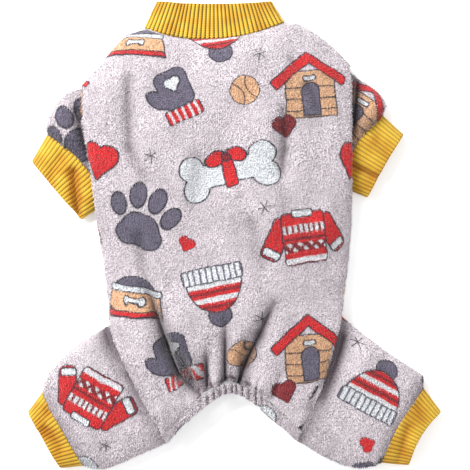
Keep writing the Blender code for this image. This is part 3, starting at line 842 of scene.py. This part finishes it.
def draw_mitten(p, x, y, turn, size):
    p.motif(x, y, turn, size)
    hand = p.join(p.block(0, 3, 4.6, 6.6, 5.0), p.ellipse(-11.5, 0, 4.6, 7.6, 38), blend=1.5)
    p.paint(hand, SLATE)
    lobes = [p.ellipse(side * 2.1, 7.1, 3.0, 3.0) for side in (-1, 1)]
    p.paint(p.join(p.block(0, 5, 1.6, 1.6, 1.4, 45), *lobes), PALE)
    cuff = p.block(0, -12.6, 9.2, 2.4, 1.6)
    p.paint(cuff, RED)
    p.paint(p.common(cuff, p.stripes(0.7, 4.0)), PALE, line=False)


def draw_bowl(p, x, y, turn, size):
    p.motif(x, y, turn, size)
    side = p.common(p.block(0, 0, 24, 7.6, 1.0), p.beyond(20.5, 0, 18), p.beyond(-20.5, 0, 162))
    p.paint(p.common(p.ellipse(0, 8.0, 15.0, 8.6), p.beyond(0, 7.0, 270)), SLATE)
    p.paint(side, TAN)
    p.paint(p.common(side, p.block(0, -6.4, 40, 0.2, 1.5)), RED)
    p.paint(p.block(0, 8.4, 17.4, 0.4, 1.7), PALE)
    knobs = [p.ellipse(side * 5, 1.4, 2.0, 2.6) for side in (-1, 1)]
    p.paint(p.join(p.block(0, 1.4, 4.0, 0.2, 1.2), *knobs), PALE)


def draw_ball(p, x, y, turn, size):
    p.motif(x, y, turn, size)
    ball = p.ellipse(0, 0, 11.5, 11.5)
    p.paint(ball, TAN)
    p.stroke(p.ellipse(-13, 0, 11, 12), ball)
    p.stroke(p.ellipse(13, 0, 11, 12), ball)


def draw_flake(p, x, y, turn, size):
    p.motif(x, y, turn, size)
    p.stroke(p.join(*[p.block(0, 0, 6.0, 0.0, 0.0, k * 60) for k in range(3)]))


def principled(name):
    """A material with an empty tree but its shader and output."""
    material = bpy.data.materials.new(name)
    material.use_nodes = True
    return material, material.node_tree, material.node_tree.nodes["Principled BSDF"]


def cut_in_mm(tree):
    """The place on the flat cloth in millimetres, from the piece's own map."""
    cut = add(tree, "ShaderNodeUVMap", uv_map="cut").outputs[0]
    return add(tree, "ShaderNodeVectorMath", {0: cut, 3: 1 / MM}, operation="SCALE").outputs[0]


def plush_fleece(settings):
    """Printed coral fleece, brushed polyester: a matt, tufted pile that lightens where light grazes it."""
    material, tree, shader = principled("printed coral fleece, brushed polyester")
    point = cut_in_mm(tree)
    place = add(tree, "ShaderNodeTexCoord").outputs["Object"]
    # The drawn line wanders by about a millimetre over 12 mm, and the pile breaks every edge up finely.
    wander = add(tree, "ShaderNodeTexNoise", {0: point, 2: 1 / 12, 3: 1.0}).outputs["Color"]
    pile = add(tree, "ShaderNodeTexNoise", {0: place, 2: 1 / (0.9 * MM), 3: 2.0}).outputs["Color"]
    moved = point
    for noise_colour, reach in ((wander, 1.2), (pile, 0.55)):
        spread = (noise_colour, (2 * reach, 2 * reach, 0.0), (-reach, -reach, 0.0))
        drift = add(tree, "ShaderNodeVectorMath", spread, operation="MULTIPLY_ADD").outputs[0]
        moved = add(tree, "ShaderNodeVectorMath", (moved, drift), operation="ADD").outputs[0]
    ground = add(tree, "ShaderNodeRGB")
    ground.outputs[0].default_value = to_linear(settings.ground)
    p = Print(tree, moved, ground.outputs[0])
    draw_bone(p, -4.0, 50.0, 14, 1.3, PALE)
    draw_paw(p, -72.0, 16.0, -16, 1.5)
    draw_jumper(p, 56.0, -2.0, 8, 1.35)
    draw_hat(p, -16.0, -40.0, 192, 1.3)
    draw_bowl(p, -82.0, -54.0, -8, 1.25)
    draw_kennel(p, 60.0, -90.0, 5, 1.3)
    draw_mitten(p, -46.0, -98.0, 24, 1.35)
    draw_ball(p, 8.0, -96.0, 30, 1.0)
    draw_heart(p, 100.0, 56.0, -12, 1.5, RED)
    draw_heart(p, 40.0, 84.0, 14, 0.9, WINE)
    draw_heart(p, -38.0, -8.0, -20, 0.6, RED)
    draw_flake(p, 24.0, 22.0, 10, 0.9)
    draw_flake(p, -66.0, 62.0, 40, 0.9)
    draw_flake(p, 20.0, -66.0, 22, 0.9)
    # Tufts of about 1 mm lie light or dark as the pile turns, over cloudier patches of 2 cm. A painted
    # highlight lightens the tufts' tips, and painted shade darkens their roots and the ground between them.
    # Painted shade also darkens creases, pleats and seams towards a purple-brown.
    tufts = add(tree, "ShaderNodeTexNoise", {0: place, 2: 1 / (1.25 * MM), 3: 0.0}).outputs[0]
    clouds = add(tree, "ShaderNodeTexNoise", {0: place, 2: 1 / (21 * MM), 3: 2.0}).outputs[0]
    tip = add(tree, "ShaderNodeAttribute", attribute_name="tip").outputs["Fac"]
    fold = add(tree, "ShaderNodeAttribute", attribute_name="fold").outputs["Fac"]
    worn = add(tree, "ShaderNodeTexNoise", {0: place, 2: 1 / (17 * MM), 3: 1.0}).outputs[0]
    rough = add(tree, "ShaderNodeMapRange", {0: worn, 1: 0.36, 2: 0.64, 3: 0.30, 4: 1.5}).outputs[0]
    fleck = add(tree, "ShaderNodeMapRange", {0: tufts, 1: 0.26, 2: 0.60, 3: -0.20, 4: 0.17}).outputs[0]
    tone = p.maths("MULTIPLY_ADD", fleck, rough, 0.77)
    patch = add(tree, "ShaderNodeMapRange", {0: clouds, 1: 0.3, 2: 0.7, 3: 0.92, 4: 1.06}).outputs[0]
    # Painted highlight on the tufts' tips, painted shade at their roots.
    lit = add(tree, "ShaderNodeMapRange", {0: tip, 1: 0.0, 2: 0.9, 3: 0.74, 4: 1.34}).outputs[0]
    both = p.maths("MULTIPLY", p.maths("MULTIPLY", tone, patch), lit)
    # Painted shade in creases, pleats and seams, multiplied in as a dark purple-brown.
    crease_shade_share = add(tree, "ShaderNodeMapRange", {0: fold, 1: 0.06, 2: 0.95, 3: 0.0, 4: 0.92}).outputs[0]
    crease_shaded = add(
        tree, "ShaderNodeMix", {0: crease_shade_share, 6: p.colour, 7: to_linear(FOLD_SHADE)},
        data_type="RGBA", blend_type="MULTIPLY",
    ).outputs[2]
    shaded = add(tree, "ShaderNodeVectorMath", {0: crease_shaded, 3: both}, operation="SCALE").outputs[0]
    tree.links.new(shaded, shader.inputs["Base Color"])
    fibres = add(tree, "ShaderNodeTexNoise", {0: place, 2: 1 / (0.55 * MM), 3: 2.0}).outputs[0]
    height = p.maths("ADD", p.maths("MULTIPLY", tufts, 1.6), p.maths("MULTIPLY", fibres, 0.5))
    bump = add(tree, "ShaderNodeBump", {0: 0.7, 1: 0.0012, 2: 0.1, 3: height})
    tree.links.new(bump.outputs[0], shader.inputs["Normal"])
    shader.inputs["Roughness"].default_value = 0.95
    shader.inputs["Specular IOR Level"].default_value = 0.2
    shader.inputs["Sheen Weight"].default_value = 0.35
    shader.inputs["Sheen Roughness"].default_value = 0.55
    return material


def rib_knit(settings):
    """Ribbed cotton knit with elastane: rows of small stitches on each rib, and painted shade in the grooves
    between ribs.
    """
    material, tree, shader = principled("rib knit, combed cotton with elastane")
    point = cut_in_mm(tree)
    place = add(tree, "ShaderNodeTexCoord").outputs["Object"]
    pitch = settings.pitch / MM
    split = add(tree, "ShaderNodeSeparateXYZ", (point,)).outputs

    def maths(operation, *values, clamp=False):
        return add(tree, "ShaderNodeMath", values, operation=operation, use_clamp=clamp).outputs[0]

    # Distance from the groove across one rib, from 0 to 1, and the stitches along it, one every 1.3 mm.
    across = maths("PINGPONG", split[0], pitch / 2)
    crown = maths("DIVIDE", across, pitch / 2)
    slant = maths("MULTIPLY", across, 0.75)
    stitch = maths("SINE", maths("MULTIPLY", maths("ADD", split[1], slant), 2 * math.pi / 1.3))
    fuzz = add(tree, "ShaderNodeTexNoise", {0: place, 2: 1 / (0.7 * MM), 3: 2.0}).outputs[0]
    patch = add(tree, "ShaderNodeTexNoise", {0: place, 2: 1 / (15 * MM), 3: 1.0}).outputs[0]
    # Painted shade darkens the grooves, less where the ribs stand lower, as on the cuffs. Painted shade also
    # turns the yarn a deeper orange in broad random patches, and more so in creases.
    deep = add(tree, "ShaderNodeAttribute", attribute_name="groove").outputs["Fac"]
    fold = add(tree, "ShaderNodeAttribute", attribute_name="fold").outputs["Fac"]
    dark = add(
        tree, "ShaderNodeMapRange", {0: crown, 1: 0.0, 2: 0.55, 3: 1.0, 4: 0.0},
        interpolation_type="SMOOTHSTEP",
    ).outputs[0]
    # Painted shade darkens the grooves.
    tone = maths("SUBTRACT", 0.61, maths("MULTIPLY", maths("MULTIPLY", dark, deep), 0.50))
    tone = maths("ADD", tone, maths("MULTIPLY", maths("MULTIPLY", stitch, deep), 0.17))
    fluff = add(tree, "ShaderNodeMapRange", {0: fuzz, 1: 0.3, 2: 0.7, 3: 0.90, 4: 1.08}).outputs[0]
    tone = maths("MULTIPLY", tone, fluff)
    # Painted shade: a deeper orange in broad random patches and in creases.
    orange_shade = add(tree, "ShaderNodeMapRange", {0: patch, 1: 0.34, 2: 0.66, 3: -0.1, 4: 0.55}).outputs[0]
    orange_shade = maths("ADD", orange_shade, fold, clamp=True)
    yarn = add(tree, "ShaderNodeRGB")
    yarn.outputs[0].default_value = to_linear(settings.yarn)
    warm = add(
        tree, "ShaderNodeMix", {0: orange_shade, 6: yarn.outputs[0], 7: to_linear(SHADE_YARN)}, data_type="RGBA"
    ).outputs[2]
    shaded = add(tree, "ShaderNodeVectorMath", {0: warm, 3: tone}, operation="SCALE").outputs[0]
    tree.links.new(shaded, shader.inputs["Base Color"])
    height = maths("ADD", maths("MULTIPLY", stitch, 0.5), maths("MULTIPLY", fuzz, 0.8))
    bump = add(tree, "ShaderNodeBump", {0: 0.5, 1: 0.0004, 2: 0.1, 3: height})
    tree.links.new(bump.outputs[0], shader.inputs["Normal"])
    shader.inputs["Roughness"].default_value = 0.85
    shader.inputs["Specular IOR Level"].default_value = 0.25
    shader.inputs["Sheen Weight"].default_value = 0.15
    return material


class JUMPSUIT_OT_body(bpy.types.Operator):
    """Make the back, the belly and the tail hem from printed plush"""

    bl_idname = "jumpsuit.body"
    bl_label = "Body panels"

    def execute(self, context):
        settings = context.scene.jumpsuit_fleece
        material = plush_fleece(settings)
        for name, place in BODY_PIECES.items():
            cloth_from(name, settings, place, material)
        return {"FINISHED"}


class JUMPSUIT_OT_limbs(bpy.types.Operator):
    """Make the sleeves and the hind legs from printed plush"""

    bl_idname = "jumpsuit.limbs"
    bl_label = "Sleeves and legs"

    def execute(self, context):
        settings = context.scene.jumpsuit_fleece
        material = bpy.data.materials["printed coral fleece, brushed polyester"]
        for name, place in LIMB_PIECES.items():
            cloth_from(name, settings, place, material)
        return {"FINISHED"}


class JUMPSUIT_OT_ribs(bpy.types.Operator):
    """Make the ribbed collar and the four cuffs"""

    bl_idname = "jumpsuit.ribs"
    bl_label = "Collar and cuffs"

    def execute(self, context):
        settings = context.scene.jumpsuit_rib
        material = rib_knit(settings)
        for name in RIB_TUBES:
            rib_tube(name, settings, material)
        return {"FINISHED"}


class JUMPSUIT_OT_stage(bpy.types.Operator):
    """Lay the floor and set the lights and the camera"""

    bl_idname = "jumpsuit.stage"
    bl_label = "Stage"

    def execute(self, context):
        settings = context.scene.jumpsuit_stage
        bm = bmesh.new()
        bmesh.ops.create_grid(bm, x_segments=1, y_segments=1, size=6.0)
        bmesh.ops.translate(bm, verts=bm.verts, vec=(0.0, 0.0, -0.0004))
        mesh = bpy.data.meshes.new("floor")
        bm.to_mesh(mesh)
        bm.free()
        floor = new_object("floor", mesh)
        material, tree, shader = principled("opal acrylic light table, switched low")
        shader.inputs["Base Color"].default_value = to_linear(settings.floor)
        shader.inputs["Roughness"].default_value = 0.9
        shader.inputs["Specular IOR Level"].default_value = 0.1
        shader.inputs["Emission Color"].default_value = (1.0, 1.0, 1.0, 1.0)
        shader.inputs["Emission Strength"].default_value = 0.2
        mesh.materials.append(material)

        world = bpy.data.worlds.new("studio")
        world.use_nodes = True
        world.node_tree.nodes["Background"].inputs[0].default_value = (1.0, 1.0, 1.0, 1.0)
        world.node_tree.nodes["Background"].inputs[1].default_value = 0.72
        context.scene.world = world
        for name, place, size, power in (
            ("key", (-1.1, 1.0, 1.1), 0.9, 66.0),
            ("fill", (1.2, -0.6, 1.6), 1.4, 12.0),
        ):
            light = bpy.data.lights.new(name, "AREA")
            light.shape = "SQUARE"
            light.size = size
            light.energy = power
            lamp = bpy.data.objects.new(name, light)
            context.scene.collection.objects.link(lamp)
            lamp.location = place
            lamp.rotation_euler = (-Vector(place)).to_track_quat("-Z", "Y").to_euler()

        lens = bpy.data.cameras.new("camera")
        lens.lens = 100.0
        lens.sensor_width = 36.0
        camera = bpy.data.objects.new("camera", lens)
        context.scene.collection.objects.link(camera)
        camera.location = (0.0004, 0.0, 0.012 + settings.view_width * lens.lens / lens.sensor_width)
        lens.clip_end = 50.0
        context.scene.camera = camera
        context.scene.view_settings.view_transform = "Standard"
        return {"FINISHED"}


OPERATORS = (JUMPSUIT_OT_stage, JUMPSUIT_OT_body, JUMPSUIT_OT_limbs, JUMPSUIT_OT_ribs)


class VIEW3D_PT_jumpsuit(bpy.types.Panel):
    bl_label = "Jumpsuit"
    bl_idname = "VIEW3D_PT_jumpsuit"
    bl_space_type = "VIEW_3D"
    bl_region_type = "UI"
    bl_category = "Jumpsuit"

    def draw(self, context):
        for name in ("jumpsuit_fleece", "jumpsuit_rib", "jumpsuit_stage"):
            group = getattr(context.scene, name)
            box = self.layout.box()
            for field in group.bl_rna.properties:
                if field.identifier not in ("name", "rna_type"):
                    box.prop(group, field.identifier)
        for operator in OPERATORS:
            self.layout.operator(operator.bl_idname)


CLASSES = (FleeceSettings, RibSettings, StageSettings, *OPERATORS, VIEW3D_PT_jumpsuit)


def register():
    for made in CLASSES:
        bpy.utils.register_class(made)
    bpy.types.Scene.jumpsuit_fleece = bpy.props.PointerProperty(type=FleeceSettings)
    bpy.types.Scene.jumpsuit_rib = bpy.props.PointerProperty(type=RibSettings)
    bpy.types.Scene.jumpsuit_stage = bpy.props.PointerProperty(type=StageSettings)


def unregister():
    del bpy.types.Scene.jumpsuit_stage
    del bpy.types.Scene.jumpsuit_rib
    del bpy.types.Scene.jumpsuit_fleece
    for made in reversed(CLASSES):
        bpy.utils.unregister_class(made)


def main():
    register()
    bpy.ops.jumpsuit.stage()
    bpy.ops.jumpsuit.body()
    bpy.ops.jumpsuit.limbs()
    bpy.ops.jumpsuit.ribs()


if __name__ == "__main__":
    main()
